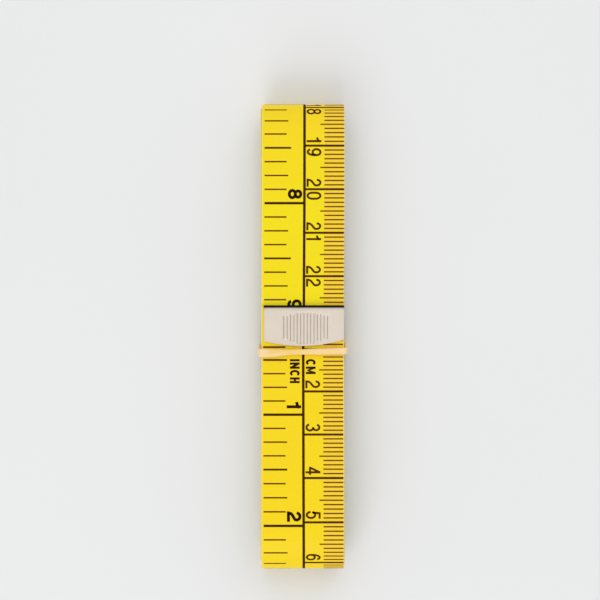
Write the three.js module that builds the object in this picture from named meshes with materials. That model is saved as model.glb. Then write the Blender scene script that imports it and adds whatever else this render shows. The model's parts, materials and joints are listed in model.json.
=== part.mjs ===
// A cloth tape measure, wound flat and held by a rubber band.
// Millimetres, +Z up. The bundle lies on its back with the free end of the tape on top.
// +Y runs along the bundle the way the free end points, and X runs across the tape.
// The origin is on the resting plane, under the middle of the bundle.
import * as THREE from 'three';

// Tape
const TAPE_LENGTH = 1500; // over both end clips
const TAPE_WIDTH = 19;
const TAPE_THICKNESS = 0.3;

// End clips: a strip of sheet metal folded over each end of the tape
const CLIP_SHEET = 0.25;
const CLIP_GRIP = 0.04; // clearance between sheet and tape
const CLIP_LAY = 0.13; // clearance between a clip and the turn that it lies on
const CLIP_SIDE = 7.85; // length of a plate along its two sides
const CLIP_BOW = 1.3; // how much further its bowed edge reaches in the middle
const CLIP_INSET = 0.15; // each side of a clip lies this far inside the edge of the tape

// Winding
const LAYERS = 7; // turns on each side of the innermost run
const LOBE_GAP = 0.65; // between turns where the bundle swells beside its folds
const FOLD_GAP = 0.6; // between one fold and the next, along the bundle
const FOLD_LENGTH = 10; // from the straight runs to the tip of the outermost fold
const LOBE_FLAT = 7; // level stretch of each run beside a fold
const INNER_END_SETBACK = 24; // from the inner end to where the outer fold begins
const FREE_END_Y = 6.9; // the free end, from the middle of the bundle

// Bend line of the free end, and the band beside it
const BEND_SETBACK = 0.3; // from the bowed edge of the clip to the bend line
const BEND_GAP = 0.1; // between the free end and the rest of the tape
const BAND_SETBACK = 0.25; // from the bend line to the band
const BAND_WIDTH = 2;
const BAND_THICKNESS = 0.75;
const BAND_CLEARANCE = 0.12;
const BAND_EDGE = 0.2; // bevel along the rims of the band
const WAIST_MARGIN = 1; // level tape past the band and past the free end

// Facets
const RAMP_STEPS = 5;
const FOLD_STEPS = 12;
const CLIP_STEPS = 12;
const CURVE_STEPS = 6;

// Step from one turn to the next, drawn in at the waist and wider at the lobes
const clipHalf = TAPE_THICKNESS / 2 + CLIP_GRIP + CLIP_SHEET;
const waistStep = TAPE_THICKNESS + CLIP_GRIP + CLIP_SHEET + CLIP_LAY;
const lobeStep = TAPE_THICKNESS + LOBE_GAP;
const foldStep = TAPE_THICKNESS + FOLD_GAP;
const foldAspect = FOLD_LENGTH / (LAYERS * lobeStep);

// Heights and places along the bundle
const midZ = LAYERS * lobeStep + TAPE_THICKNESS / 2;
const clipLength = CLIP_SIDE + CLIP_BOW;
const bendY = FREE_END_Y - clipLength - BEND_SETBACK;
const bandTopY = bendY - BAND_SETBACK;
const waistTopY = FREE_END_Y + WAIST_MARGIN;
const waistBottomY = bandTopY - BAND_WIDTH - WAIST_MARGIN;
const waistHalf = LAYERS * waistStep + TAPE_THICKNESS / 2;

// Height of a run above or below the middle: level at the waist, then a smooth ramp to the lobes
function runHeight(layer, y, lobeY) {
  const above = THREE.MathUtils.smoothstep(y, waistTopY, lobeY);
  const below = THREE.MathUtils.smoothstep(-y, -waistBottomY, lobeY);
  return layer * THREE.MathUtils.lerp(waistStep, lobeStep, above + below);
}

// Stops along a full run, from the top lobe to the bottom one
function runStops(lobeY) {
  const stops = [];
  for (let i = 0; i <= RAMP_STEPS; i += 1) {
    stops.push(THREE.MathUtils.lerp(lobeY, waistTopY, i / RAMP_STEPS));
  }
  for (let i = 0; i <= RAMP_STEPS; i += 1) {
    stops.push(THREE.MathUtils.lerp(waistBottomY, -lobeY, i / RAMP_STEPS));
  }
  return stops;
}

// A point of the tape's middle line, with the direction that its outer face looks in
function station(y, z, outY, outZ) {
  return { place: new THREE.Vector2(y, z), out: new THREE.Vector2(outY, outZ).normalize() };
}

// One run of a layer on the top (side 1) or the bottom (side -1) of the bundle
function runStations(layer, side, stops, lobeY) {
  const reach = 1e-3;
  return stops.map((y) => {
    const rise = runHeight(layer, y + reach, lobeY) - runHeight(layer, y - reach, lobeY);
    const height = runHeight(layer, y, lobeY);
    return station(y, midZ + side * height, -rise / (2 * reach), side);
  });
}

// A fold is half an ellipse, from the top of the bundle to its bottom at the bottom end (end -1),
// and from the bottom back to the top, half a step further in, at the top end (end 1)
function foldStations(turn, end, halfLength) {
  const drop = end > 0 ? lobeStep / 2 : 0;
  const halfHeight = (LAYERS - turn) * lobeStep - drop;
  const reach = halfHeight * foldAspect;
  const centreY = halfLength - turn * foldStep - reach;
  const stations = [];
  for (let i = 0; i <= FOLD_STEPS; i += 1) {
    const angle = (Math.PI * i) / FOLD_STEPS;
    const across = -end * Math.cos(angle);
    const along = end * Math.sin(angle);
    const z = midZ - drop + halfHeight * across;
    stations.push(station(end * centreY + reach * along, z, along / reach, across / halfHeight));
  }
  return stations;
}

// The tape's middle line from the bend line inward, for a bundle of this half length
function windingStations(halfLength) {
  const lobeY = halfLength - FOLD_LENGTH - LOBE_FLAT;
  const innerEndY = -(halfLength - FOLD_LENGTH - INNER_END_SETBACK);
  const down = runStops(lobeY);
  const up = [...down].reverse();
  const firstStops = [bendY - BEND_GAP, ...down.filter((y) => y <= waistBottomY)];
  const stations = [];
  for (let turn = 0; turn < LAYERS; turn += 1) {
    const layer = LAYERS - turn;
    stations.push(...runStations(layer, 1, turn === 0 ? firstStops : down, lobeY));
    stations.push(...foldStations(turn, -1, halfLength));
    stations.push(...runStations(layer, -1, up, lobeY));
    stations.push(...foldStations(turn, 1, halfLength));
  }
  stations.push(station(innerEndY + clipHalf, midZ, 0, 1));
  return { stations, innerEndY };
}

function lengthOf(stations) {
  let length = 0;
  for (let i = 1; i < stations.length; i += 1) {
    length += stations[i].place.distanceTo(stations[i - 1].place);
  }
  return length;
}

// The half length of the bundle at which the whole tape, with both clips, has its length
function solveHalfLength() {
  const runHalves = 4 * LAYERS + 1;
  const freeLength = FREE_END_Y - bendY + BEND_GAP;
  let halfLength = TAPE_LENGTH / runHalves;
  for (let i = 0; i < 20; i += 1) {
    const wound = lengthOf(windingStations(halfLength).stations);
    halfLength += (TAPE_LENGTH - freeLength - wound - clipHalf) / runHalves;
  }
  return halfLength;
}

// Least gap between turns, on points along the middle line that are further apart than a tight fold
function leastGap(stations) {
  const spacing = 0.5;
  const foldApart = 3;
  const points = [];
  let along = 0;
  for (let i = 1; i < stations.length; i += 1) {
    const from = stations[i - 1].place;
    const to = stations[i].place;
    const length = from.distanceTo(to);
    const count = Math.ceil(length / spacing);
    for (let k = 0; k < count; k += 1) {
      points.push({ place: from.clone().lerp(to, k / count), at: along + (length * k) / count });
    }
    along += length;
  }
  let least = Infinity;
  for (const a of points) {
    for (const b of points) {
      if (b.at - a.at > foldApart) {
        least = Math.min(least, a.place.distanceToSquared(b.place));
      }
    }
  }
  return Math.sqrt(least) - TAPE_THICKNESS;
}

// A closed skin over rings of equal count; the outline is the first ring, anticlockwise from behind
function loft(rings, outline) {
  const count = outline.length;
  const last = (rings.length - 1) * count;
  const index = [];
  for (let i = 0; i < last; i += count) {
    for (let k = 0; k < count; k += 1) {
      const next = (k + 1) % count;
      index.push(i + k, i + count + k, i + count + next);
      index.push(i + k, i + count + next, i + next);
    }
  }
  for (const [a, b, c] of THREE.ShapeUtils.triangulateShape(outline, [])) {
    index.push(a, b, c);
    index.push(last + a, last + c, last + b);
  }
  const geometry = new THREE.BufferGeometry().setFromPoints(rings.flat());
  geometry.setIndex(index);
  geometry.computeVertexNormals();
  return geometry;
}

function tapeGeometry(stations) {
  const corners = [[1, 1], [-1, 1], [-1, -1], [1, -1]];
  const outline = corners.map(([across, out]) => new THREE.Vector2(across, out));
  const rings = stations.map(({ place, out }) =>
    corners.map(([across, side]) => {
      const edge = place.clone().addScaledVector(out, (side * TAPE_THICKNESS) / 2);
      return new THREE.Vector3((-across * TAPE_WIDTH) / 2, edge.x, edge.y);
    }),
  );
  return loft(rings, outline);
}

// An end clip, with the outside of its fold at the origin and its plates running towards -Y
function clipGeometry() {
  const gripHalf = TAPE_THICKNESS / 2 + CLIP_GRIP;
  const halfWidth = TAPE_WIDTH / 2 - CLIP_INSET;
  const section = (length) => {
    const shape = new THREE.Shape();
    shape.moveTo(-length, -clipHalf);
    shape.lineTo(-clipHalf, -clipHalf);
    shape.absarc(-clipHalf, 0, clipHalf, -Math.PI / 2, Math.PI / 2, false);
    shape.lineTo(-length, clipHalf);
    shape.lineTo(-length, gripHalf);
    shape.lineTo(-clipHalf, gripHalf);
    shape.absarc(-clipHalf, 0, gripHalf, Math.PI / 2, -Math.PI / 2, true);
    shape.lineTo(-length, -gripHalf);
    return shape.getPoints(CURVE_STEPS);
  };
  const rings = [];
  for (let i = 0; i <= CLIP_STEPS; i += 1) {
    const across = 1 - (2 * i) / CLIP_STEPS;
    const length = CLIP_SIDE + CLIP_BOW * (1 - across * across);
    rings.push(section(length).map((p) => new THREE.Vector3(across * halfWidth, p.x, p.y)));
  }
  return loft(rings, section(CLIP_SIDE));
}

// The free end of the tape, from its clip to the bend line, with its middle at the origin
function freeEndGeometry() {
  const length = FREE_END_Y - clipHalf - bendY;
  return new THREE.BoxGeometry(TAPE_WIDTH, length, TAPE_THICKNESS);
}

function roundedRectangle(path, halfWidth, halfHeight, radius) {
  const x = halfWidth - radius;
  const y = halfHeight - radius;
  path.absarc(x, y, radius, 0, Math.PI / 2, false);
  path.absarc(-x, y, radius, Math.PI / 2, Math.PI, false);
  path.absarc(-x, -y, radius, Math.PI, Math.PI * 1.5, false);
  path.absarc(x, -y, radius, Math.PI * 1.5, Math.PI * 2, false);
  path.closePath();
  return path;
}

// The band goes round the waist; it is drawn across the bundle and runs towards -Y
function bandGeometry() {
  const innerWidth = TAPE_WIDTH / 2 + BAND_CLEARANCE;
  const innerHeight = waistHalf + BAND_CLEARANCE;
  const innerRadius = 2 * BAND_CLEARANCE;
  const outer = innerRadius + BAND_THICKNESS;
  const shape = new THREE.Shape();
  roundedRectangle(shape, innerWidth + BAND_THICKNESS, innerHeight + BAND_THICKNESS, outer);
  shape.holes.push(roundedRectangle(new THREE.Path(), innerWidth, innerHeight, innerRadius));
  const geometry = new THREE.ExtrudeGeometry(shape, {
    depth: BAND_WIDTH - 2 * BAND_EDGE,
    bevelThickness: BAND_EDGE,
    bevelSize: BAND_EDGE,
    bevelOffset: -BAND_EDGE,
    bevelSegments: 1,
    curveSegments: CURVE_STEPS,
  });
  geometry.translate(0, 0, BAND_EDGE);
  return geometry.rotateX(Math.PI / 2);
}

function piece(name, geometry, finish) {
  const mesh = new THREE.Mesh(geometry, new THREE.MeshStandardMaterial(finish));
  mesh.name = name;
  return mesh;
}

const yellowTape = { color: 0xf7de2e, roughness: 0.5, metalness: 0 };
const nickel = { color: 0xded0be, roughness: 0.35, metalness: 1 };
const rubber = { color: 0xf5d9a8, roughness: 0.6, metalness: 0 };

const halfLength = solveHalfLength();
const { stations, innerEndY } = windingStations(halfLength);
const freeEndZ = midZ + LAYERS * waistStep;
console.log(`least gap between turns ${leastGap(stations).toFixed(3)} mm`);
const bundleLength = 2 * halfLength + TAPE_THICKNESS;
console.log(`bundle ${bundleLength.toFixed(2)} mm long, ${(2 * midZ).toFixed(2)} mm thick`);

const tape = piece('tape', tapeGeometry(stations), yellowTape);

const innerClip = piece('inner_end_clip', clipGeometry(), nickel);
innerClip.position.set(0, innerEndY, midZ);
innerClip.rotation.z = Math.PI;

const freeEnd = piece('tape_free_end', freeEndGeometry(), yellowTape);
freeEnd.position.set(0, (FREE_END_Y - clipHalf + bendY) / 2, freeEndZ);

const outerClip = piece('outer_end_clip', clipGeometry(), nickel);
outerClip.position.set(0, FREE_END_Y, freeEndZ);

const band = piece('rubber_band', bandGeometry(), rubber);
band.position.set(0, bandTopY, midZ);

const tapeMeasure = new THREE.Group();
tapeMeasure.add(tape, innerClip, freeEnd, outerClip, band);

export default tapeMeasure;
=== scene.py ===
# %% [markdown]
# A cloth tape measure, wound flat and held by a rubber band
#
# The bundle is four real things: a yellow coated-cloth strip, a folded metal clip on each of its
# ends, and a rubber band round the waist. The frame already holds them as plain solids at their
# real size, so this lesson only makes the surfaces that a buyer sees and touches. We load the frame
# first, because every piece below takes its place from it.

# %% Load the frame
import json
import math

import bmesh
import bpy
import numpy as np
from mathutils import Matrix, Vector


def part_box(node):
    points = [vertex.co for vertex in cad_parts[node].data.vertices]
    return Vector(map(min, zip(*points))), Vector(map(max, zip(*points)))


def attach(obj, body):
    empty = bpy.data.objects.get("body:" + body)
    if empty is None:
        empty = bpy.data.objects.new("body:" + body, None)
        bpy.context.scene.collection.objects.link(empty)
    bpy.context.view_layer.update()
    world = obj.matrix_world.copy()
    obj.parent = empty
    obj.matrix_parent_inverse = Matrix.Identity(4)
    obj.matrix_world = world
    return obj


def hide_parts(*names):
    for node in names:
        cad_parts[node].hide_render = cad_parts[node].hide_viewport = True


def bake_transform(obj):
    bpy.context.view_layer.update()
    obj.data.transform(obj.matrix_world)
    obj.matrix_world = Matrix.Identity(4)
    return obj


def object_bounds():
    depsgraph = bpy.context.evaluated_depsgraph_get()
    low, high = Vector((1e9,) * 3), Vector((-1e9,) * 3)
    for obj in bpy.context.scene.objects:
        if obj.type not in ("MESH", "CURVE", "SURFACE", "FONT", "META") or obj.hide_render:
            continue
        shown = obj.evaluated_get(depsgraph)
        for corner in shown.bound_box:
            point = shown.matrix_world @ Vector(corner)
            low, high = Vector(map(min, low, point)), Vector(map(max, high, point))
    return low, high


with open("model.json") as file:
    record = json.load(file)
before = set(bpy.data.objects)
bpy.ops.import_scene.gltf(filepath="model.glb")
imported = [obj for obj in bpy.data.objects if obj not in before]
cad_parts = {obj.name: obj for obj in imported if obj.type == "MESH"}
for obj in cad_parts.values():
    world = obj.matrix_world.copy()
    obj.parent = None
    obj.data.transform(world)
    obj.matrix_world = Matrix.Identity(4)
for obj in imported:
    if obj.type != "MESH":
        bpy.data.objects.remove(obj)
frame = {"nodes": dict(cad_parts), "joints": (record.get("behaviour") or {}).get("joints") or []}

MM = 0.001
cad_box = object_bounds()
cad_size = (cad_box[1] - cad_box[0]) / MM
print("bundle of", [round(side, 2) for side in cad_size], "mm, nodes", sorted(frame["nodes"]))

# %% [markdown]
# Camera
#
# The tape was photographed straight on, so the camera looks down on the bundle from above its
# printed face. A long lens far away keeps the two edges of the tape parallel. The picture is square
# and shows a field of fixed width at the height of the front face; the bundle sits a little right
# of its middle and below it.

# %% Place the camera
VIEW_FIELD = 137.65 * MM
VIEW_MIDDLE = Vector((-0.62, 8.415, 13)) * MM
VIEW_DISTANCE = 600 * MM
VIEW_DEPTH = (0.01, 20)

bpy.ops.object.select_all(action="DESELECT")
bpy.ops.object.camera_add(location=VIEW_MIDDLE + Vector((0, 0, VIEW_DISTANCE)))
camera = bpy.context.object
camera.data.lens = camera.data.sensor_width * VIEW_DISTANCE / VIEW_FIELD
camera.data.clip_start, camera.data.clip_end = VIEW_DEPTH
bpy.context.scene.camera = camera
print("lens of", round(camera.data.lens, 1), "mm")

# %% [markdown]
# Light
#
# Coated cloth and nickel both show what surrounds them, so the light is large and soft. A lamp below
# the bundle throws the short shadow above the end of the tape, a broader one faces it from beyond
# the top so that neither fold goes dull, and a wide one overhead gives the clip something pale to
# reflect. The sky fills the rest. Together they add up to about one, so that a colour renders as it
# is written.

# %% Set the lamps and the sky
SKY_STRENGTH = 0.52


def soft_lamp(name, place, size, watts):
    """A square lamp that looks at the origin, just below the middle of the bundle."""
    bpy.ops.object.light_add(type="AREA", location=place)
    lamp = bpy.context.object
    lamp.name = name
    lamp.data.size = size
    lamp.data.energy = watts
    lamp.rotation_euler = (-Vector(place)).to_track_quat("-Z", "Y").to_euler()


soft_lamp("low_lamp", place=(-0.16, -0.58, 0.5), size=0.55, watts=2.4)
soft_lamp("far_lamp", place=(0.1, 0.64, 0.5), size=0.95, watts=2.65)
soft_lamp("top_lamp", place=(0.05, 0.12, 1.0), size=0.9, watts=1.27)

sky = bpy.data.worlds.new("sky")
bpy.context.scene.world = sky
sky.use_nodes = True
background = sky.node_tree.nodes["Background"]
background.inputs["Color"].default_value = (1, 1, 1, 1)
background.inputs["Strength"].default_value = SKY_STRENGTH
bpy.context.scene.view_settings.view_transform = "Standard"

# %% [markdown]
# Writing a finish
#
# A finish is a small tree of shader nodes. Wiring it by hand hides the sum that it stands for, so
# two helpers are made once. `Signal` is a value that changes over the surface: adding or
# multiplying signals adds the Math nodes.

# %% Make the helper for sums
class Signal:
    """A socket of a finish; sums on it become Math nodes."""

    def __init__(self, finish, socket):
        self.finish = finish
        self.socket = socket

    def math(self, operation, *others, **settings):
        settings["operation"] = operation
        inputs = dict(enumerate((self, *others)))
        return self.finish.node("ShaderNodeMath", settings, inputs)

    def __add__(self, other):
        return self.math("ADD", other)

    def __mul__(self, other):
        return self.math("MULTIPLY", other)

    def __sub__(self, other):
        return self.math("SUBTRACT", other)

    def __rsub__(self, other):
        return self * -1 + other

    __radd__ = __add__
    __rmul__ = __mul__

    def scaled(self, low, high):
        """Turns a value from 0 to 1 into one from low to high."""
        return self * (high - low) + low

    def ramp(self, low, high):
        """0 up to the low value, 1 from the high one on, and an even slope between them."""
        return (self - low).math("MULTIPLY", 1 / (high - low), use_clamp=True)


print("helper for sums:", Signal.__name__)

# %% [markdown]
# `Finish` is the material itself, with one method that adds any other node from its type, its
# settings and what feeds its sockets. The short methods at its end name the few nodes that most of
# the finishes share.

# %% Make the helper for nodes
class Finish:
    """A material built from nodes, with a Principled shader at its end."""

    def __init__(self, name, **constants):
        self.material = bpy.data.materials.new(name)
        self.material.use_nodes = True
        self.tree = self.material.node_tree
        self.shader = self.tree.nodes["Principled BSDF"]
        self.show(**constants)

    def node(self, kind, settings=None, inputs=None, output=0):
        made = self.tree.nodes.new(kind)
        for name, value in (settings or {}).items():
            setattr(made, name, value)
        for socket, value in (inputs or {}).items():
            self.feed(made.inputs[socket], value)
        return Signal(self, made.outputs[output])

    def feed(self, socket, value):
        if isinstance(value, Signal):
            self.tree.links.new(value.socket, socket)
        else:
            socket.default_value = value

    def show(self, **sockets):
        for socket, value in sockets.items():
            self.feed(self.shader.inputs[socket.replace("_", " ")], value)

    def mix(self, share, first, second):
        """Blends two colours: a Mix node takes them at 6 and 7 and gives the result at 2."""
        inputs = {0: share, 6: first, 7: second}
        return self.node("ShaderNodeMix", {"data_type": "RGBA"}, inputs, output=2)

    def bump(self, height, depth):
        return self.node("ShaderNodeBump", inputs={"Height": height, "Distance": depth})

    def attribute(self, name):
        """A value that the mesh carries on its corners."""
        return self.node("ShaderNodeAttribute", {"attribute_name": name}, output="Fac")

    def place(self):
        """The place on the piece, in metres."""
        return self.node("ShaderNodeTexCoord", output="Object")


print("helper for nodes:", Finish.__name__)

# %% [markdown]
# Coated cloth
#
# The tape is woven glass or polyester yarn under a thin soft coating, yellow on the printed face
# and white on the back. The yarn still shows through as a very fine plain weave, and the coating
# has a satin gloss. The weave could be modelled thread by thread, but at a third of a millimetre a
# thread it is only a grain, so it is a bump on a flat map of the tape, measured in millimetres.

# %% Map and weave the cloth
WARP_PITCH = 0.36
WEFT_PITCH = 0.33
TAPE_MAP = "tape_mm"
CLOUD_DETAIL = 3


def flat_place(finish):
    """The place on the flat tape, in millimetres."""
    return finish.node("ShaderNodeUVMap", {"uv_map": TAPE_MAP})


def across_and_along(finish):
    """The two measures of that place."""
    across = finish.node("ShaderNodeSeparateXYZ", inputs={0: flat_place(finish)})
    return across, Signal(finish, across.socket.node.outputs[1])


def weave_bump(finish, depth):
    """A plain weave, warp over weft, as a bump of this depth."""
    across, along = across_and_along(finish)
    warp = (across * (math.pi / WARP_PITCH)).math("SINE")
    weft = (along * (math.pi / WEFT_PITCH)).math("SINE")
    return finish.bump(warp * weft, depth)


def cloud(finish, place, scale):
    """Soft uneven patches from 0 to 1, with so many patches to a unit of the place."""
    inputs = {"Vector": place, "Scale": scale, "Detail": CLOUD_DETAIL}
    return finish.node("ShaderNodeTexNoise", inputs=inputs)


print("weave of", WARP_PITCH, "by", WEFT_PITCH, "mm")

# %% [markdown]
# The colour isn't even. The outer turn is the one that is handled and sees the light, so it has gone
# a little golden, and the turn below it is still lemon. Between the millimetre ticks the oil of the
# ink has spread into the coating and warms it. Along both edges the colour is painted pale in grains, a
# painted highlight.

# %% Choose the colours of the cloth
YELLOW = {
    "fresh": (0.905, 0.762, 0.006, 1),
    "aged": (0.945, 0.65, 0.0105, 1),
    "stain": (0.915, 0.61, 0.04, 1),
    "edge": (0.93, 0.82, 0.3, 1),
}
WHITE = {
    "fresh": (0.82, 0.8, 0.74, 1),
    "aged": (0.78, 0.76, 0.69, 1),
    "stain": (0.8, 0.78, 0.71, 1),
    "edge": (0.82, 0.8, 0.74, 1),
}
print("cloth colours:", ", ".join(YELLOW))

# %% Mix the cloth finishes
PATCHES_PER_MM = 0.09
GRAINS_PER_MM = 2.5
FRESH_FROM = (180, 205)
FRESH_BY_TURN = 0.5
FRESH_BY_PATCHES = 0.4
LEAST_FRESH = 0.1
STAIN_FROM = 4.5
STAIN_BLUR = 2 / 3
STAIN_SHARE = 0.85
EDGE_HIGHLIGHT_WIDTH = 0.35
EDGE_HIGHLIGHT_RATE = 2.5
CLOTH_ROUGHNESS = (0.38, 0.5)
CLOTH_COAT = (0.02, 0.08)
WEAVE_DEPTH = 0.006 * MM

tape_low, tape_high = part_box("tape")
tape_width = (tape_high.x - tape_low.x) / MM
half_width = tape_width / 2


def coated_cloth(name, colours):
    """Satin coated cloth, with a colour where it is fresh, aged and stained by ink, and a painted
    highlight at its edges.
    """
    cloth = Finish(name, Coat_Roughness=0.25, Specular_IOR_Level=0.12)
    across, along = across_and_along(cloth)
    place = flat_place(cloth)
    patches = cloud(cloth, place, PATCHES_PER_MM)
    grain = cloud(cloth, place, GRAINS_PER_MM)
    fresh = patches * FRESH_BY_PATCHES + along.ramp(*FRESH_FROM) * FRESH_BY_TURN + LEAST_FRESH
    stained = across.ramp(STAIN_FROM, STAIN_FROM + STAIN_BLUR) * STAIN_SHARE
    # Painted highlight: the colour turns pale towards both edges of the tape, broken up by the grain.
    painted_light = (across.math("ABSOLUTE") - (half_width - EDGE_HIGHLIGHT_WIDTH)) * EDGE_HIGHLIGHT_RATE
    painted_light = painted_light.math("MULTIPLY", grain, use_clamp=True)
    tint = cloth.mix(fresh, colours["aged"], colours["fresh"])
    tint = cloth.mix(stained, tint, colours["stain"])
    cloth.show(
        Base_Color=cloth.mix(painted_light, tint, colours["edge"]),
        Roughness=grain.scaled(*CLOTH_ROUGHNESS),
        Coat_Weight=patches.scaled(*CLOTH_COAT),
        Normal=weave_bump(cloth, WEAVE_DEPTH),
    )
    return cloth


yellow_face = coated_cloth("yellow_coated_face", YELLOW)
white_back = coated_cloth("white_coated_back", WHITE)
print("cloth finishes:", yellow_face.material.name, white_back.material.name)

# %% [markdown]
# Cut edge and ink
#
# Along its two edges the strip is slit from wider cloth, so the pale core and the ends of the weft
# show as a row of fine dots. The scale is printed in a warm black that lets a little of the weave
# through and is never quite even. A thin mark gets a thinner film, which looks brown, so each mark
# carries a value from 0 for the boldest figures to 1 for the finest ticks.

# %% Mix the cut edge and the ink
CORE = (0.8, 0.7, 0.34, 1)
WEFT_END = (0.86, 0.8, 0.6, 1)
FRAY_DEPTH = 0.02 * MM
BOLD_INK = [(0.01, 0.003, 0.0003, 1), (0.03, 0.01, 0.0005, 1)]
THIN_INK = (0.15, 0.048, 0.0005, 1)
THIN_FILM = "thin_film"
INK_PATCHES_PER_MM = 1.6
INK_ROUGHNESS = (0.36, 0.56)
INK_WEAVE_DEPTH = 0.004 * MM

cut_edge = Finish("cut_tape_edge", Roughness=0.75)
edge_along = across_and_along(cut_edge)[1]
weft_ends = (edge_along * (2 * math.pi / WEFT_PITCH)).math("SINE") * 0.5 + 0.5
cut_edge.show(
    Base_Color=cut_edge.mix(weft_ends, CORE, WEFT_END),
    Normal=cut_edge.bump(weft_ends, FRAY_DEPTH),
)

ink = Finish("scale_ink", Specular_IOR_Level=0.04)
ink_density = cloud(ink, flat_place(ink), INK_PATCHES_PER_MM)
bold_ink = ink.mix(ink_density, *BOLD_INK)
ink.show(
    Base_Color=ink.mix(ink.attribute(THIN_FILM), bold_ink, THIN_INK),
    Roughness=ink_density.scaled(*INK_ROUGHNESS),
    Normal=weave_bump(ink, INK_WEAVE_DEPTH),
)
print("edge and ink:", cut_edge.material.name, ink.material.name)

# %% [markdown]
# Route of the tape
#
# The strip starts under its outer clip on top of the bundle, runs down over the waist, folds round
# the bottom end, comes up along the back and folds over at the top, one layer further in at each
# turn. The layers lie close at the waist, where the band holds them, and swell to a lobe beside
# each fold. A curve object with a bend could follow it, but a formula gives the length along the
# tape as well, which the printed scale needs. The free end reaches a hair further than the plain
# solid of the frame, as the marks beside it show.

# %% Measure the bundle
band_low, band_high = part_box("rubber_band")
clip_low, clip_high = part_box("outer_end_clip")
inner_clip_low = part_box("inner_end_clip")[0]

TAPE_THICKNESS = 0.3
LAYERS = 7
WAIST_STEP = 0.72
LOBE_STEP = 0.95
FOLD_STEP = 0.9
FOLD_LENGTH = 10
LOBE_FLAT = 7
WAIST_MARGIN = 1
END_REACH = 0.3

half_length = tape_high.y / MM - TAPE_THICKNESS / 2
middle_z = tape_high.z / MM / 2
free_end_y = clip_high.y / MM + END_REACH
waist_top_y = clip_high.y / MM + WAIST_MARGIN
waist_bottom_y = band_low.y / MM - WAIST_MARGIN
lobe_y = half_length - FOLD_LENGTH - LOBE_FLAT
fold_aspect = FOLD_LENGTH / (LAYERS * LOBE_STEP)
print("lobes at", round(lobe_y, 2), "mm from the middle, tape", round(tape_width, 2), "mm wide")


# %% Describe one run and one fold
def smooth_step(value, low, high):
    share = np.clip((value - low) / (high - low), 0, 1)
    return share * share * (3 - 2 * share)


def upper_swell(y):
    return smooth_step(y, waist_top_y, lobe_y)


def lower_swell(y):
    return smooth_step(-y, -waist_bottom_y, lobe_y)


def run_height(layer, y):
    swell = upper_swell(y) + lower_swell(y)
    return layer * (WAIST_STEP + (LOBE_STEP - WAIST_STEP) * swell)


def run_route(layer, side, y):
    """Places y and z of a run, and the direction that its printed face looks in."""
    reach = 0.001
    slope = (run_height(layer, y + reach) - run_height(layer, y - reach)) / (2 * reach)
    return [y, middle_z + side * run_height(layer, y), -slope, np.full(len(y), side)]


def fold_route(turn, end, angle):
    """Half an ellipse from one side of the bundle to the other, at its top (1) or bottom (-1)."""
    drop = LOBE_STEP / 2 if end > 0 else 0
    half_height = (LAYERS - turn) * LOBE_STEP - drop
    reach = half_height * fold_aspect
    across = -end * np.cos(angle)
    along = end * np.sin(angle)
    y = end * (half_length - turn * FOLD_STEP - reach) + reach * along
    return [y, middle_z - drop + half_height * across, along / reach, across / half_height]


print("folds reach", round(fold_aspect, 2), "times half their height")

# %% [markdown]
# Winding by hand is never perfectly straight: at the lobes the inner turns creep sideways by a
# fraction of a millimetre, so a sliver of their edges shows beside the outer turn. The two lists
# give that creep for each turn, and it dies away at the waist, under the band.

# %% Join the runs and folds into one route
RUN_STEPS = 64
FOLD_STEPS = 72
UPPER_CREEP = [0, 0.1, -0.2, -0.12, 0.12, -0.1, 0.1, -0.1]
LOWER_CREEP = [0, 0.14, -0.22, 0.2, -0.1, 0.15, -0.12]


def with_creep(route, upper, lower):
    y = route[0]
    return np.stack([*route, upper * upper_swell(y) + lower * lower_swell(y)])


down = np.linspace(lobe_y, -lobe_y, RUN_STEPS + 1)
angle = np.linspace(0, math.pi, FOLD_STEPS + 1)
parts = []
for turn in range(LAYERS):
    layer = LAYERS - turn
    y = down if turn else np.concatenate([[free_end_y], down[down < free_end_y]])
    upper, next_upper, lower = UPPER_CREEP[turn], UPPER_CREEP[turn + 1], LOWER_CREEP[turn]
    parts.append(with_creep(run_route(layer, 1, y), upper, lower))
    parts.append(with_creep(fold_route(turn, -1, angle), upper, lower))
    parts.append(with_creep(run_route(layer, -1, down[::-1]), next_upper, lower))
    parts.append(with_creep(fold_route(turn, 1, angle), next_upper, lower))
clip_half = (clip_high.z - clip_low.z) / MM / 2
inner_tape_end = np.array([inner_clip_low.y / MM + clip_half])
parts.append(np.stack([inner_tape_end, [middle_z], [0], [1], [0]]))
route = np.concatenate(parts, axis=1)
route[2:4] /= np.linalg.norm(route[2:4], axis=0)
steps = np.linalg.norm(np.diff(route[:2], axis=1), axis=0)
route_length = np.concatenate([[0], np.cumsum(steps)])


def on_tape(across, along, lift):
    """Points this far over the middle of the tape's thickness, in metres."""
    y, z, out_y, out_z, creep = [np.interp(along, route_length, row) for row in route]
    return np.stack([across + creep, y + lift * out_y, z + lift * out_z], axis=-1) * MM


print("tape of", round(route_length[-1] + clip_half, 1), "mm in", route.shape[1], "steps")

# %% [markdown]
# The wound strip
#
# A sheet this thin is made directly as a mesh: a slim section with eased corners is carried along
# the route and closed at both ends. The flat map keeps millimetres, and each face knows whether it
# is printed face, back or cut edge.

# %% Draw the section and make the mesh helpers
EDGE_EASE = 0.06
rise = TAPE_THICKNESS / 2
flat_half = half_width - EDGE_EASE
flat_rise = rise - EDGE_EASE
HALF_SECTION = [(-flat_half, rise), (flat_half, rise), (half_width, flat_rise), (half_width, -flat_rise)]
SECTION = HALF_SECTION + [(-across, -lift) for across, lift in HALF_SECTION]


def map_flat(piece, flat):
    """Gives each corner of each face its place on the flat tape."""
    layer = piece.data.uv_layers.new(name=TAPE_MAP)
    layer.uv.foreach_set("vector", np.asarray(flat, np.float32).ravel())


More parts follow.
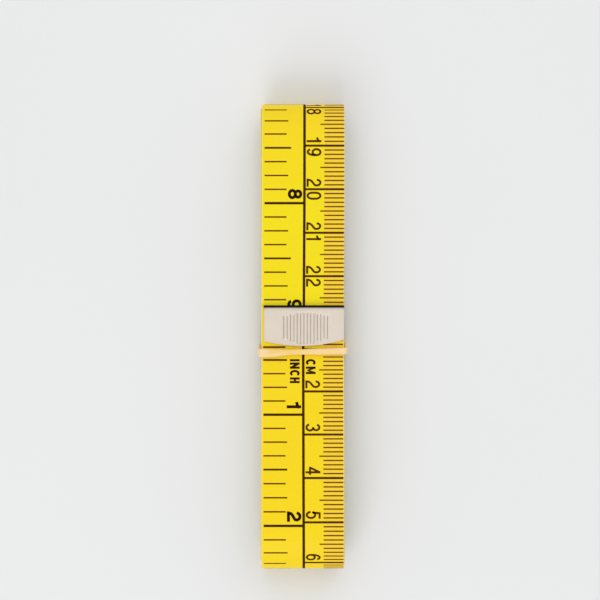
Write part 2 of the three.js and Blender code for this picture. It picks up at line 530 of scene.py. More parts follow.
def new_piece(name, points, faces, finishes):
    mesh = bpy.data.meshes.new(name)
    mesh.from_pydata(points, [], faces)
    for finish in finishes:
        mesh.materials.append(finish.material)
    piece = bpy.data.objects.new(name, mesh)
    bpy.context.scene.collection.objects.link(piece)
    return piece


def only(piece):
    """Makes this the one selected object."""
    bpy.ops.object.select_all(action="DESELECT")
    piece.select_set(True)
    bpy.context.view_layer.objects.active = piece


def carry(piece, name, values):
    """Writes a value on each corner of the mesh, for its finish to read."""
    attribute = piece.data.attributes.new(name, "FLOAT", "POINT")
    attribute.data.foreach_set("value", values)


print("section of", len(SECTION), "corners")

# %% [markdown]
# A strip is a row of such sections with faces between them, one at every step of the route. Shading
# is smoothed only where two faces meet at a small angle, so the folds look round and the edges stay
# crisp.

# %% Carry the section along the route
TAPE_FINISHES = [yellow_face, white_back, cut_edge]
PRINTED, BARE, CUT = range(len(TAPE_FINISHES))
BROAD_SIDES = {0: PRINTED, 4: BARE}
ROW_GAP = 0.01
SMOOTH_ANGLE = math.radians(25)


def route_rows(start, stop):
    """Every step of the route between two places along the tape."""
    between = (route_length > start + ROW_GAP) & (route_length < stop - ROW_GAP)
    return np.concatenate([[start], route_length[between], [stop]])


def tape_strip(name, along):
    """The tape with a row of corners at each of these places along it."""
    corners = len(SECTION)
    points = [on_tape(across, along, lift) for across, lift in SECTION]
    points = np.stack(points, axis=1).reshape(-1, 3)
    faces, sides, flat = [], [], []
    for i in range(len(along) - 1):
        for k in range(corners):
            following = (k + 1) % corners
            ring, next_ring = i * corners, (i + 1) * corners
            faces.append((ring + k, next_ring + k, next_ring + following, ring + following))
            sides.append(BROAD_SIDES.get(k, CUT))
            measure = 0 if k in BROAD_SIDES else 1
            a, b = SECTION[k][measure], SECTION[following][measure]
            flat += [(a, along[i]), (a, along[i + 1]), (b, along[i + 1]), (b, along[i])]
    faces.append(tuple(range(corners)))
    faces.append(tuple(reversed(range(len(points) - corners, len(points)))))
    sides += [CUT, CUT]
    flat += SECTION + SECTION[::-1]
    strip = new_piece(name, points, faces, TAPE_FINISHES)
    strip.data.polygons.foreach_set("material_index", sides)
    map_flat(strip, flat)
    only(strip)
    bpy.ops.object.shade_smooth_by_angle(angle=SMOOTH_ANGLE)
    return strip


print("strip finishes:", len(TAPE_FINISHES))

# %% [markdown]
# The strip is cut in two under the band, because from there on the free end can be lifted. The free
# end has closer rows where it bends, at the joint that the frame gives.

# %% Wind the strip and its free end
BEND_HALF = 0.22
BEND_ROWS = 13
join_along = free_end_y - (band_low.y + band_high.y) / 2 / MM

tape = tape_strip("wound_tape", route_rows(join_along, route_length[-1]))
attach(tape, "winding")
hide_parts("tape")

lift_joint = next(joint for joint in frame["joints"] if joint["name"] == "free_end_lift")
bend_line = Vector(lift_joint["pos_m"])
bend_rows = free_end_y - bend_line.y / MM + np.linspace(-BEND_HALF, BEND_HALF, BEND_ROWS)
free_end = tape_strip("free_end_tape", np.union1d(route_rows(clip_half, join_along), bend_rows))
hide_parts("tape_free_end")
print("strips of", len(tape.data.polygons), "and", len(free_end.data.polygons), "faces")

# %% [markdown]
# Printing the scale
#
# Ink on coated cloth is a film a hundredth of a millimetre thick. A picture on the flat map would
# blur when it is enlarged, so each mark is a thin slip of ink, closed all round, that stands just
# proud of the cloth and is let into it a little so that no gap shows. Every mark, from a tick to the
# bow of an 8, is a ribbon between two lines on the flat tape, so one helper lays them all. The
# cloth wandered in the press, sideways by a tenth of a millimetre and lengthways by a third, so
# the marks lie a little off their true places. The lists say by how much at a few of them.

# %% Make a helper that lays ink
INK_PROUD = 0.012
INK_SUNK = 0.03
WANDER_PLACES = [9, 10, 12, 38, 60, 180, 225]
WANDER_SIDEWAYS = [-0.08, -0.08, -0.08, -0.03, 0.05, 0.13, 0.08]
WANDER_LENGTHWAYS = [-0.03, 0.2, -0.12, -0.38, -0.06, 0.32, 0.29]


class Print:
    """Slips of ink on the flat tape, to be laid on the wound one."""

    def __init__(self):
        self.flat, self.lift, self.thinness, self.faces = [], [], [], []

    def lay(self, near, far, thinness, closed=False):
        """One slip between two lines of as many points, given as (across, along)."""
        count = len(near)
        first = len(self.flat)
        self.thinness += [thinness] * (4 * count)
        for lift in (INK_PROUD, -INK_SUNK):
            for line in (near, far):
                self.flat += list(line)
                self.lift += [rise + lift] * count
        top_near, top_far, low_near, low_far = (first + count * k for k in range(4))
        for i in range(count if closed else count - 1):
            k = (i + 1) % count
            self.faces += [
                (top_near + i, top_near + k, top_far + k, top_far + i),
                (low_far + i, low_far + k, low_near + k, low_near + i),
                (low_near + i, low_near + k, top_near + k, top_near + i),
                (top_far + i, top_far + k, low_far + k, low_far + i),
            ]
        if not closed:
            start = (top_near, top_far, low_far, low_near)
            self.faces += [start, tuple(corner + count - 1 for corner in reversed(start))]

    def piece(self, name):
        flat = np.array(self.flat, float)
        sideways = np.interp(flat[:, 1], WANDER_PLACES, WANDER_SIDEWAYS)
        flat[:, 0] = np.clip(flat[:, 0] + sideways, -flat_half, flat_half)
        flat[:, 1] += np.interp(flat[:, 1], WANDER_PLACES, WANDER_LENGTHWAYS)
        points = on_tape(flat[:, 0], flat[:, 1], np.array(self.lift))
        print_piece = new_piece(name, points, self.faces, [ink])
        carry(print_piece, THIN_FILM, self.thinness)
        map_flat(print_piece, [flat[corner] for face in self.faces for corner in face])
        return print_piece


print("ink stands", INK_PROUD, "mm proud")

# %% [markdown]
# The tape is in two strips, so the ink is in two prints, and a mark belongs to the one on its side of
# the join. The simplest mark is a tick: a straight slip across the tape.

# %% Open the two prints
winding_print = Print()
free_end_print = Print()


def sheet_at(along):
    """The print that a mark at this place belongs to."""
    return winding_print if along > join_along else free_end_print


def tick(along, start, stop, thickness, thinness):
    """A straight mark across the tape."""
    near = [(start, along - thickness / 2), (stop, along - thickness / 2)]
    far = [(start, along + thickness / 2), (stop, along + thickness / 2)]
    sheet_at(along).lay(far, near, thinness)


print("prints meet", round(join_along, 2), "mm along the tape")

# %% [markdown]
# Ticks
#
# The right half counts centimetres: a short tick for each millimetre, a longer one for each half
# centimetre and a full line at each centimetre. The left half counts inches in eighths, and before
# the second inch its halves are as short as its quarters. A heavy line down the middle parts the two
# scales. Each kind of mark has the place of its inner end across the tape, its thickness, and how
# thin its film of ink is. Only the outer turn, and what comes to light when the free end is lifted,
# carries ink, because the turns below are never seen.

# %% Print the ticks
PRINT_START = 7
PRINT_STOP = 250
INCH = 25.4
MIDDLE_LINE = (0.2, 0.6, 0.25)
LINE_STEP = 0.5
BENT_LINE_STEP = 0.06
CM_TICKS = {"line": (0.25, 0.5, 0.45), "half": (3.84, 0.3, 1), "millimetre": (4.77, 0.3, 1)}
INCH_TICKS = {
    "inch": (0.1, 0.56, 0.25),
    "half": (-2.86, 0.44, 0.5),
    "quarter": (-3.53, 0.34, 0.9),
    "eighth": (-3.9, 0.34, 0.9),
}
LONG_HALVES_FROM = 16
RIGHT_MARGIN = 9.36
LEFT_MARGIN = -8.97

for millimetre in range(PRINT_START, PRINT_STOP + 1):
    kind = "line" if millimetre % 10 == 0 else "half" if millimetre % 5 == 0 else "millimetre"
    start, thickness, thinness = CM_TICKS[kind]
    tick(millimetre, start, RIGHT_MARGIN, thickness, thinness)

for eighth in range(math.ceil(8 * PRINT_START / INCH), math.floor(8 * PRINT_STOP / INCH) + 1):
    kind = "eighth" if eighth % 2 else "quarter" if eighth % 4 else "half" if eighth % 8 else "inch"
    stop, thickness, thinness = INCH_TICKS[kind]
    if kind == "half" and eighth < LONG_HALVES_FROM:
        stop = INCH_TICKS["quarter"][0]
    tick(eighth * INCH / 8, LEFT_MARGIN, stop, thickness, thinness)

line_middle, line_thickness, line_thinness = MIDDLE_LINE
for sheet, start, stop, step in [
    (free_end_print, PRINT_START, join_along, BENT_LINE_STEP),
    (winding_print, join_along, PRINT_STOP, LINE_STEP),
]:
    along = np.append(np.arange(start, stop, step), stop)
    across = np.full(len(along), line_middle)
    near = np.stack([across - line_thickness / 2, along], axis=1)
    far = np.stack([across + line_thickness / 2, along], axis=1)
    sheet.lay(near, far, line_thinness)
print("marks of", len(winding_print.faces) + len(free_end_print.faces), "faces")

# %% [markdown]
# Numerals
#
# The figures are a plain printer's sans: thin for centimetres, bold for inches. A font brings its
# own style, so each figure is drawn as a sign painter would, from a few strokes in a box one unit
# wide and high: straight pulls and parts of ovals. A stroke is then given its thickness, which makes
# thin and bold figures from the same drawing.

# %% Draw the strokes of each figure
def bow(centre, radii, start, stop, steps=14):
    """Part of an oval, from one angle to another in degrees."""
    turn = np.radians(np.linspace(start, stop, steps + 1))
    x = centre[0] + radii[0] * np.cos(turn)
    y = centre[1] + radii[1] * np.sin(turn)
    return list(zip(x, y))


def ring(centre, radii):
    return bow(centre, radii, 0, 360, 24)[:-1]


SIX = [
    ring((0.5, 0.31), (0.5, 0.31)),
    [*bow((0.53, 0.76), (0.41, 0.24), 10, 90, 6), *bow((0.53, 0.42), (0.53, 0.58), 95, 185, 12)],
]
FIGURES = {
    "0": [[*bow((0.5, 0.64), (0.5, 0.36), 0, 180), *bow((0.5, 0.36), (0.5, 0.36), 180, 360)]],
    "1": [[(0.9, 0), (0.9, 1)], [(0.9, 0.9), (0.55, 0.8), (0.05, 0.76)]],
    "2": [[*bow((0.48, 0.71), (0.47, 0.29), 178, -30), *bow((0.72, 0), (0.72, 0.42), 112, 180), (1, 0)]],
    "3": [bow((0.5, 0.755), (0.46, 0.245), 165, -95), bow((0.5, 0.265), (0.52, 0.265), 95, -168)],
    "4": [[(0.76, 0), (0.76, 1)], [(0.71, 0.98), (0.05, 0.34)], [(0.02, 0.27), (1, 0.27)]],
    "5": [[(0.93, 1), (0.2, 1), (0.08, 0.5)], bow((0.48, 0.33), (0.5, 0.33), 142, -160)],
    "6": SIX,
    "7": [[(0, 1), (1, 1), (0.62, 0.5), (0.4, 0)]],
    "8": [ring((0.5, 0.76), (0.43, 0.24)), ring((0.5, 0.265), (0.5, 0.265))],
    "9": [[(1 - x, 1 - y) for x, y in stroke] for stroke in SIX],
    "I": [[(0.5, 0), (0.5, 1)]],
    "N": [[(0, 0), (0, 1)], [(0.06, 0.93), (0.94, 0.07)], [(1, 0), (1, 1)]],
    "C": [bow((0.53, 0.5), (0.53, 0.5), 40, 320, 18)],
    "H": [[(0, 0), (0, 1)], [(1, 0), (1, 1)], [(0, 0.52), (1, 0.52)]],
    "M": [[(0, 0), (0, 1)], [(0.06, 0.92), (0.5, 0.15), (0.94, 0.92)], [(1, 1), (1, 0)]],
}
ROUND_FIGURES = {"0": [0], "6": [0], "8": [0, 1], "9": [0]}
print("figures:", "".join(FIGURES))

# %% [markdown]
# A figure lies on its side on the tape: it is read along the tape, with its top towards the right
# edge. Giving a stroke its thickness means stepping half of it to each side, square to the way that
# the brush moves, and a little further at a corner so that the corner stays full. The open end of a
# straight pull runs on by half the thickness, which fills the box of the figure.

# %% Give the strokes their thickness and lay them
MITRE_LIMIT = 1.5
STRAIGHT_PULL = 0.3


def unit(vectors):
    return vectors / np.linalg.norm(vectors, axis=1, keepdims=True)


def brush_sides(stroke, thickness, closed):
    """The two edges of a brush stroke."""
    points = np.array(stroke, float)
    if closed:
        before, after = np.roll(points, 1, axis=0), np.roll(points, -1, axis=0)
    else:
        for end, neighbour in ((0, 1), (-1, -2)):
            pull = points[end] - points[neighbour]
            reach = np.linalg.norm(pull)
            if reach > STRAIGHT_PULL:
                points[end] += pull / reach * thickness / 2
        before = np.vstack([2 * points[0] - points[1], points[:-1]])
        after = np.vstack([points[1:], 2 * points[-1] - points[-2]])
    come, go = unit(points - before), unit(after - points)
    way = unit(come + go)
    square = np.stack([-way[:, 1], way[:, 0]], axis=1)
    corner = 1 / np.maximum(np.sum(way * come, axis=1), 1 / MITRE_LIMIT)
    step = square * (corner * thickness / 2)[:, None]
    return points + step, points - step


def figure(sign, along, foot, height, width, thickness, thinness):
    """Lays one sign that starts at this place along the tape and stands on this line across it."""
    size = np.array([height - thickness, width - thickness])
    corner = np.array([foot, along]) + thickness / 2
    for number, stroke in enumerate(FIGURES[sign]):
        closed = number in ROUND_FIGURES.get(sign, [])
        flat = [corner + size * (y, x) for x, y in stroke]
        near, far = brush_sides(flat, thickness, closed)
        sheet_at(along).lay(near, far, thinness, closed)


print("corners reach out up to", MITRE_LIMIT, "times")

# %% [markdown]
# A number stands beside the line that it counts: a single figure just before it, and the two figures
# of a larger number on either side of it. The first number on the centimetre scale is 2, because the
# clip and the band cover the place of the 1.

# %% Lay the numbers
CM_FIGURE = {"foot": 0.68, "height": 3.42, "width": 1.84, "thickness": 0.48, "thinness": 0.5}
INCH_FIGURE = {"foot": -3.62, "height": 3.32, "width": 2.34, "thickness": 0.68, "thinness": 0}
ONE_WIDTH = {"cm": 1.2, "inch": 1.6}
FIRST_CM_NUMBER = 2
CM_GAP = 0.57
SINGLE_GAP = 0.72
INCH_GAP = 0.92
INCH_ONE_GAP = 1.4


def styled(sign, style, one_width):
    """The style of this sign, narrower for a 1."""
    return style | {"width": one_width} if sign == "1" else style


for centimetre in range(FIRST_CM_NUMBER, PRINT_STOP // 10 + 1):
    line = centimetre * 10
    first, *rest = str(centimetre)
    gap = CM_GAP if rest and first != "1" else SINGLE_GAP
    style = styled(first, CM_FIGURE, ONE_WIDTH["cm"])
    figure(first, line - gap - style["width"], **style)
    for second in rest:
        figure(second, line + CM_GAP, **styled(second, CM_FIGURE, ONE_WIDTH["cm"]))

for inch in range(1, int(PRINT_STOP / INCH) + 1):
    gap = INCH_ONE_GAP if inch == 1 else INCH_GAP
    style = styled(str(inch), INCH_FIGURE, ONE_WIDTH["inch"])
    figure(str(inch), inch * INCH - gap - style["width"], **style)
print("numbers up to", centimetre, "cm and", inch, "inches")

# %% [markdown]
# Just past the band, each scale has the word for its unit, in capitals a little smaller than the
# figures. With them the marks are complete, and the two prints become pieces.

# %% Lay the unit words and make the prints
UNIT_START = 12.5
UNIT_HEIGHT = 2.25
UNIT_STROKE = 0.51
UNIT_THINNESS = 0.1
UNIT_GAP = 0.27
UNIT_WORDS = {"INCH": (-2.87, [0.51, 1.46, 1.46, 1.34]), "CM": (0.8, [1.46, 1.74])}

for word, (foot, widths) in UNIT_WORDS.items():
    along = UNIT_START
    for sign, width in zip(word, widths):
        figure(sign, along, foot, UNIT_HEIGHT, width, UNIT_STROKE, UNIT_THINNESS)
        along += width + UNIT_GAP

scale_print = winding_print.piece("scale_print")
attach(scale_print, "winding")
end_print = free_end_print.piece("free_end_print")
print("print of", len(scale_print.data.polygons), "and", len(end_print.data.polygons), "faces")

# %% [markdown]
# The free end bends at the band, where its strip has closer rows. Here its strip and its print have
# their placement applied to their meshes.

for piece in (free_end, end_print):
    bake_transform(piece)

# %% [markdown]
# Nickel
#
# The clips are thin steel strip with a satin nickel plating: a warm, pale metal with fine lines from
# the rolling, and a soft blur to what it reflects. The lines run across the tape and are only a
# change of gloss with a trace of bump. Along the front of the fold the colour is painted nearly black
# and rougher, a painted shadow and dark reflection, so the mesh carries a value that is one along the
# front of the fold, slight just below it and nothing elsewhere.

# %% Mix the nickel
PLATING = [(0.78, 0.7, 0.61, 1), (0.7, 0.61, 0.515, 1)]
# Painted shade: the front of the fold is painted nearly black, for the shadow and dark reflection there.
FOLD_SHADE_COLOUR = (0.012, 0.012, 0.008, 1)
FOLD_SHADE_ATTRIBUTE = "fold_shade"
ROLLING_SCALE = (180, 6000, 6000)
ROLLING_DEPTH = 0.003 * MM
TARNISH_SCALE = 260
NICKEL_ROUGHNESS = (0.26, 0.46)
FOLD_ROUGHNESS = 0.2


def streaked(finish, scale):
    """A cloud with a scale for each axis, which draws it out into streaks."""
    inputs = {"Vector": finish.place(), "Scale": scale}
    return cloud(finish, finish.node("ShaderNodeMapping", inputs=inputs), 1)


nickel = Finish("satin_nickel", Metallic=1)
rolling_lines = streaked(nickel, ROLLING_SCALE)
tarnish = cloud(nickel, nickel.place(), TARNISH_SCALE)
fold_shade = nickel.attribute(FOLD_SHADE_ATTRIBUTE)
nickel.show(
    Base_Color=nickel.mix(fold_shade, nickel.mix(tarnish, *PLATING), FOLD_SHADE_COLOUR),
    Roughness=rolling_lines.scaled(*NICKEL_ROUGHNESS) + fold_shade * FOLD_ROUGHNESS,
    Normal=nickel.bump(rolling_lines, ROLLING_DEPTH),
)
print("metal:", nickel.material.name)

# %% [markdown]
# The outer clip
#
# A clip is one strip of sheet metal, stamped with a row of grip ribs while flat, then folded over
# the end of the tape and pressed shut. It is modelled the same way: a flat plate is divided, the ribs
# are raised by insets, the far edge is spun half a turn into the fold, and the back plate is drawn
# out from there.

# %% Add the front plate
CLIP_SHEET = 0.25
CLIP_SIDE = 8.07
CLIP_LEFT_TRIM = 0.4
CLIP_RIGHT_REACH = 0.18
PLATE_CUTS = 23

clip_width = (clip_high.x - clip_low.x) / MM - CLIP_LEFT_TRIM + CLIP_RIGHT_REACH
clip_middle_x = (clip_high.x + clip_low.x) / MM / 2 + (CLIP_LEFT_TRIM + CLIP_RIGHT_REACH) / 2
fold_y = free_end_y - clip_half
free_end_z = (clip_high.z + clip_low.z) / MM / 2
plate_length = CLIP_SIDE - clip_half
plate_rise = clip_half - CLIP_SHEET / 2
plate_end_y = free_end_y - CLIP_SIDE


def open_at_size(name, size):
    """Names the new primitive, gives it this size in millimetres and leaves it in edit mode."""
    piece = bpy.context.object
    piece.name = name
    bpy.ops.object.mode_set(mode="EDIT")
    bpy.ops.transform.resize(value=size)
    bpy.ops.object.mode_set(mode="OBJECT")
    bpy.ops.object.transform_apply(location=True, rotation=True, scale=True)
    bpy.ops.object.mode_set(mode="EDIT")
    return piece


bpy.ops.object.select_all(action="DESELECT")
plate_middle = Vector((clip_middle_x, fold_y - plate_length / 2, free_end_z + plate_rise)) * MM
bpy.ops.mesh.primitive_plane_add(size=MM, location=plate_middle)
clip = open_at_size("outer_clip", (clip_width, plate_length, 1))
bpy.ops.mesh.subdivide(number_cuts=PLATE_CUTS)
print("front plate of", round(clip_width, 2), "by", round(plate_length, 2), "mm")

# %% [markdown]
# The ribs give the fingers a grip. A rib is one column of the plate's faces, inset and pushed up
# together. Every second column stays flat, and the ribs at the sides are shorter.

# %% Stamp the ribs
RIB_COLUMNS = range(6, 19, 2)
RIB_MIDDLE_ROW = 13
RIB_HALF_ROWS = 9
RIB_TAPER = 3
RIB_SLOPE = 0.12
RIB_HEIGHT = 0.2


def choose(kind, test):
    """In edit mode, selects only the corners, edges or faces whose middle passes the test."""
    bpy.ops.mesh.select_mode(type=kind)
    bpy.ops.mesh.select_all(action="DESELECT")
    shape = bmesh.from_edit_mesh(bpy.context.edit_object.data)
    for item in {"VERT": shape.verts, "EDGE": shape.edges, "FACE": shape.faces}[kind]:
        corners = [item] if kind == "VERT" else item.verts
        middle = sum((corner.co for corner in corners), Vector()) / len(corners) / MM
        item.select_set(bool(test(middle)))
    shape.select_flush_mode()
    bmesh.update_edit_mesh(bpy.context.edit_object.data)


def on_rib(middle):
    column = int((middle.x - clip_middle_x + clip_width / 2) / clip_width * (PLATE_CUTS + 1))
    row = int((fold_y - middle.y) / plate_length * (PLATE_CUTS + 1))
    reach = RIB_HALF_ROWS - abs(column - RIB_COLUMNS[len(RIB_COLUMNS) // 2]) // RIB_TAPER
    return column in RIB_COLUMNS and abs(row - RIB_MIDDLE_ROW) <= reach


choose("FACE", on_rib)
bpy.ops.mesh.inset(thickness=RIB_SLOPE * MM, depth=RIB_HEIGHT * MM)
print("front plate with", len(RIB_COLUMNS), "ribs")

# %% [markdown]
# A folding tool wraps the flat strip round the end of the tape: half a turn first, then the back
# plate flat against the cloth. Spin makes the half turn from the far edge of the front plate, and
# the edge on which it ends is drawn out into the back plate.

# %% Fold the strip and draw out the back plate
NEAR = 0.001
FOLD_SEGMENTS = 10


def on_fold_end(middle):
    return middle.z < free_end_z - plate_rise + NEAR and abs(middle.y - fold_y) < NEAR


choose("EDGE", lambda middle: middle.y > fold_y - NEAR)
fold_middle = Vector((0, fold_y, free_end_z)) * MM
bpy.ops.mesh.spin(steps=FOLD_SEGMENTS, angle=math.pi, center=fold_middle, axis=(1, 0, 0))
choose("EDGE", on_fold_end)
bpy.ops.mesh.extrude_region_move(TRANSFORM_OT_translate={"value": (0, -plate_length * MM, 0)})
bpy.ops.mesh.select_all(action="SELECT")
bpy.ops.mesh.remove_doubles(threshold=NEAR * MM)
bpy.ops.mesh.normals_make_consistent(inside=False)
print("back plate of", round(plate_length, 2), "mm")

# %% [markdown]
# The open edges of a clip aren't cut straight. They bow out towards the middle, lie a little lower on
# the left, and have rounded corners. A bevel makes these, and a formula then moves the mesh along the
# tape, most at the open edges.

# %% Bow the open edges and round their corners
CLIP_BOW = 1.3
CLIP_SKEW = 0.16
BOW_POWER = 3
CORNER_ROUND = 0.35
CORNER_SEGMENTS = 3


def off_middle(x):
    """Place across the clip, from -1 at its left edge to 1 at its right."""
    return (x - clip_middle_x) / (clip_width / 2)


def on_corner(place):
    return place.y < plate_end_y + NEAR and abs(off_middle(place.x)) > 1 - NEAR


choose("VERT", on_corner)
bpy.ops.mesh.bevel(offset=CORNER_ROUND * MM, segments=CORNER_SEGMENTS, affect="VERTICES")
shape = bmesh.from_edit_mesh(clip.data)
for corner in shape.verts:
    down = max(0, (fold_y - corner.co.y / MM) / plate_length) ** BOW_POWER
    share = off_middle(corner.co.x / MM)
    corner.co.y -= (CLIP_BOW * (1 - share * share) - CLIP_SKEW * share) * down * MM
bmesh.update_edit_mesh(clip.data)
bpy.ops.object.mode_set(mode="OBJECT")
print("folded strip of", len(clip.data.polygons), "faces")

# %% [markdown]
# Only now does the strip get the thickness of its metal, half of it to each side. A fine bevel takes
# the sharpness off the rims, so that they catch the light. The painted shade is written on the mesh by
# how near each corner lies to the front of the fold, and it fades out below the tape.

# %% Give the sheet its thickness and its painted fold shade
RIM_ROUND = 0.05
RIM_SEGMENTS = 3
RIM_ANGLE = math.radians(35)
FAINT_SHADE_SHARE = 0.15
FAINT_SHADE_FROM = (-0.9, -0.3)
DARK_SHADE_FROM = (-0.2, -0.05)


def finish_with(piece, kind, **settings):
    """Adds a modifier and applies it."""
    only(piece)
    modifier = piece.modifiers.new(kind.lower(), kind)
    for name, value in settings.items():
        setattr(modifier, name, value)
    bpy.ops.object.modifier_apply(modifier=modifier.name)


finish_with(clip, "SOLIDIFY", thickness=CLIP_SHEET * MM, offset=0, use_even_offset=True)
finish_with(clip, "BEVEL", width=RIM_ROUND * MM, segments=RIM_SEGMENTS, angle_limit=RIM_ANGLE)
bpy.ops.object.shade_smooth_by_angle(angle=SMOOTH_ANGLE)
past_fold = np.array([corner.co.y / MM - fold_y for corner in clip.data.vertices])
over_tape = np.array([corner.co.z / MM - free_end_z for corner in clip.data.vertices])
# Painted shade: faint just below the front of the fold, dark along its front, none below the tape.
faint_shade = FAINT_SHADE_SHARE * smooth_step(past_fold, *FAINT_SHADE_FROM)
painted_light = np.maximum(faint_shade, smooth_step(past_fold, *DARK_SHADE_FROM))
carry(clip, FOLD_SHADE_ATTRIBUTE, painted_light * smooth_step(over_tape, -plate_rise, 0))
clip.data.materials.append(nickel.material)
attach(clip, "free_end")
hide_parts("outer_end_clip")
print("outer clip of", len(clip.data.polygons), "faces")

# %% [markdown]
# The inner clip
#
# The other end of the tape has the same clip, out of sight in the heart of the bundle. The finished
# clip is copied with a mesh of its own, turned half round and moved to the inner end.

# %% Copy the clip to the inner end
inner_clip = clip.copy()
inner_clip.data = clip.data.copy()
inner_clip.name = "inner_clip"
bpy.context.scene.collection.objects.link(inner_clip)
from_outer = Matrix.Translation(-Vector((0, free_end_y, free_end_z)) * MM)
to_inner = Matrix.Translation(Vector((0, inner_clip_low.y / MM, middle_z)) * MM)
inner_clip.data.transform(to_inner @ Matrix.Rotation(math.pi, 4, "Z") @ from_outer)
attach(inner_clip, "winding")
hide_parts("inner_end_clip")
print("inner clip copied")

# %% [markdown]
# Rubber
#
# The band is natural rubber, cut from a tube: a warm cream, matt, with faint streaks along its
# length where it is stretched and a powdery bloom on the surface. Its colour also carries painted light
# and shade: pale where it faces the light, deeper and more yellow where it lies in shade, where some of
# the yellow below also shows through the thin rubber. The mesh says where.

# %% Mix the rubber
# The first cream is the painted shade, with the tape's yellow showing through; the second is the painted
# light.
CREAM_SHADED_AND_LIT = [(0.89, 0.575, 0.11, 1), (0.955, 0.69, 0.37, 1)]
BLOOM = (0.96, 0.76, 0.48, 1)
BLOOM_SHARE = 0.3
BLOOM_SCALE = 900
STREAK_SCALE = (150, 2600, 150)
STREAK_DEPTH = 0.03 * MM
RUBBER_PAINTED_LIGHT = "rubber_painted_light"
PALE_BY_PAINTED_LIGHT = 0.8
PALE_BY_STREAKS = 0.5
PALE_START = 0.15
RUBBER_ROUGHNESS = (0.36, 0.56)

rubber = Finish("cream_rubber")
streaks = streaked(rubber, STREAK_SCALE)
bloom = cloud(rubber, rubber.place(), BLOOM_SCALE)
# Painted light and shade: paler where the mesh says the band faces the light, and along the streaks.
pale = rubber.attribute(RUBBER_PAINTED_LIGHT) * PALE_BY_PAINTED_LIGHT + streaks * PALE_BY_STREAKS
cream = rubber.mix(pale.math("SUBTRACT", PALE_START, use_clamp=True), *CREAM_SHADED_AND_LIT)
rubber.show(
    Base_Color=rubber.mix(bloom * BLOOM_SHARE, cream, BLOOM),
    Roughness=bloom.scaled(*RUBBER_ROUGHNESS),
    Normal=rubber.bump(streaks, STREAK_DEPTH),
)
print("rubber:", rubber.material.name)

# %% [markdown]
# The rubber band
#
# A band pulled round a flat bundle takes its shape: nearly a rectangle with rounded corners. A cube
# without two of its sides is such a ring. Its corners are bevelled and its faces divided, which
# leaves it ready to be pulled about as rubber would be.

# %% Model the ring
BAND_THICKNESS = 0.75
BAND_CORNER = 0.6
BAND_CORNER_SEGMENTS = 5
ACROSS, ALONG, UP = range(3)
BAND_CUTS = {ACROSS: 15, UP: 7, ALONG: 5}

band_middle = (band_low + band_high) / 2
band_size = (band_high - band_low) / MM - Vector((BAND_THICKNESS, 0, BAND_THICKNESS))
middle = band_middle / MM


def halfway(axis):
    """A test for what lies halfway along one axis of the band."""
    return lambda place: abs(place[axis] - middle[axis]) < band_size[axis] / 4


bpy.ops.object.select_all(action="DESELECT")
bpy.ops.mesh.primitive_cube_add(size=MM, location=band_middle)
band = open_at_size("cream_rubber_band", band_size)
choose("FACE", lambda place: not halfway(ALONG)(place))
bpy.ops.mesh.delete(type="ONLY_FACE")
choose("EDGE", halfway(ALONG))
bpy.ops.mesh.bevel(offset=BAND_CORNER * MM, segments=BAND_CORNER_SEGMENTS, affect="EDGES")
for axis, cuts in BAND_CUTS.items():
    choose("EDGE", halfway(axis))
    bpy.ops.mesh.subdivide(number_cuts=cuts)
print("ring of", len(bmesh.from_edit_mesh(band.data).faces), "faces")

# %% [markdown]
# The band lies a little askew, higher on the right, and it was pushed down on the front to clear the
# clip, so it runs slantwise down both edges of the tape. It also twists on the front, left of the
# middle: there it is narrow and stands up a little, and a soft crease climbs from it to the right.
# The front has an upper and a lower edge, given at a few places across the tape, and so has the back,
# given at its two ends. Between front and back the edges run straight down the sides.

# %% Say how the band lies
FRONT_PLACES = [-10, -6.5, -3.7, 0, 4.5, 10]
FRONT = {
    "upper": [-2.75, -2.8, -3.05, -2.86, -2.72, -2.52],
    "lower": [-4.75, -4.72, -4.25, -4.15, -4.2, -4.05],
}
BACK = {"upper": (-1.83, -1.08), "lower": (-3.43, -2.68)}
CREASE = (0.3, 1.5)
CREASE_WIDTH = 0.3
CREASE_HEIGHT = 0.36
CREASE_FADE = (6.8, 9.2)
TWIST_PLACE = -2.9
TWIST_REACH = 2.2
TWIST_HEIGHT = 0.2
band_half = band_size.x / 2
wall_half = band_size.z / 2 - BAND_CORNER
print("front edges given at", len(FRONT_PLACES), "places")


# %% Work out its edges, its twist and its crease
def between(ends, place):
    """A value that is given at the left and right ends of the band."""
    left, right = ends
    return left + (right - left) * (place.x + band_half) / (2 * band_half)


def band_edge(name, place):
    """Where an edge of the band lies at this place round the bundle."""
    down = np.clip((middle.z + wall_half - place.z) / (2 * wall_half), 0, 1)
    front = np.interp(place.x, FRONT_PLACES, FRONT[name])
    return front * (1 - down) + between(BACK[name], place) * down


def twist(place):
    """One where the band stands on edge, and nothing away from there."""
    return math.exp(-(((place.x - TWIST_PLACE) / TWIST_REACH) ** 2))


def off_crease(place):
    """Share of the band's width from the crease up to this place, and from its lower edge."""
    lower = band_edge("lower", place)
    share = (place.y - lower) / (band_edge("upper", place) - lower)
    return share - between(CREASE, place), share


def crease_height(place):
    """How far the crease and the twist lift the band off the tape."""
    if place.z < middle.z:
        return 0
    above, share = off_crease(place)
    above = max(above, share - 1) / CREASE_WIDTH
    crease = CREASE_HEIGHT * math.exp(-above * above) * (1 - smooth_step(abs(place.x), *CREASE_FADE))
    return crease + TWIST_HEIGHT * twist(place)


print("crease up to", CREASE_HEIGHT, "mm high")

# %% [markdown]
# Every corner of the ring is now pulled to its place. It keeps its share of the way from the lower
# edge to the upper one, and the crease and the twist lift it off the tape.

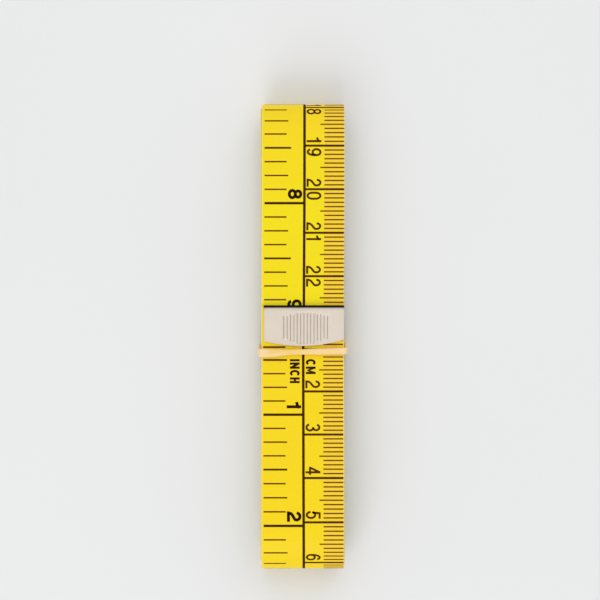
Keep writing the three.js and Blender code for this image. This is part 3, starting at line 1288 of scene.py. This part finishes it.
# %% Pull the band into place
shape = bmesh.from_edit_mesh(band.data)
for corner in shape.verts:
    place = corner.co / MM
    share = (place.y - band_low.y / MM) / band_size.y
    lower = band_edge("lower", place)
    place.y = lower + (band_edge("upper", place) - lower) * share
    place.z += crease_height(place)
    corner.co = place * MM
bmesh.update_edit_mesh(band.data)
bpy.ops.object.mode_set(mode="OBJECT")
print("band from", round(min(corner.co.y for corner in band.data.vertices) / MM, 2), "mm")

# %% [markdown]
# The ring gets the thickness of the rubber and soft rims. Below the crease the rubber faces the
# light and is painted pale, a painted highlight; above it, and at the twist, it is painted deeper, a
# painted shade with some of the tape's yellow shining through. Down the edges of the tape, which turn
# away from the light, it is painted pale to lift the shade. That is a value on the mesh, worked out from
# the same crease.

# %% Give the band its thickness and its painted light and shade
PALE_FROM = (-0.2, 0.1)
FACE_PAINTED_LIGHT = 0.58
TWIST_SHADE = 0.7
RUBBER_SMOOTH_ANGLE = math.radians(60)


def paleness(place):
    """Painted light: one at the edges of the tape, less on the front below the crease, nothing above it.
    """
    below = FACE_PAINTED_LIGHT * (1 - smooth_step(off_crease(place)[0], *PALE_FROM))
    below *= 1 - TWIST_SHADE * twist(place)
    return max(below, smooth_step(abs(place.x), *CREASE_FADE))


finish_with(band, "SOLIDIFY", thickness=BAND_THICKNESS * MM, offset=0, use_even_offset=True)
finish_with(band, "SUBSURF", levels=1, render_levels=1)
bpy.ops.object.shade_smooth_by_angle(angle=RUBBER_SMOOTH_ANGLE)
carry(band, RUBBER_PAINTED_LIGHT, [paleness(corner.co / MM) for corner in band.data.vertices])
band.data.materials.append(rubber.material)
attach(band, "band")
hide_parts("rubber_band")
print("rubber band of", len(band.data.polygons), "faces")

# %% [markdown]
# Floor
#
# The bundle lies on a plain pale table. The plane is large enough to fill every view, and a faint
# unevenness keeps it from looking like paper.

# %% Lay the floor
TABLE = [(0.84, 0.845, 0.85, 1), (0.8, 0.805, 0.81, 1)]
TABLE_PATCH_SCALE = 6
FLOOR_SIZE = 6

table = Finish("pale_table", Roughness=0.7)
table_patches = cloud(table, table.place(), TABLE_PATCH_SCALE)
table.show(Base_Color=table.mix(table_patches, *TABLE))

bpy.ops.object.select_all(action="DESELECT")
bpy.ops.mesh.primitive_plane_add(size=FLOOR_SIZE)
floor = bpy.context.object
floor.name = "floor"
floor.data.materials.append(table.material)
print("floor of", FLOOR_SIZE, "m")
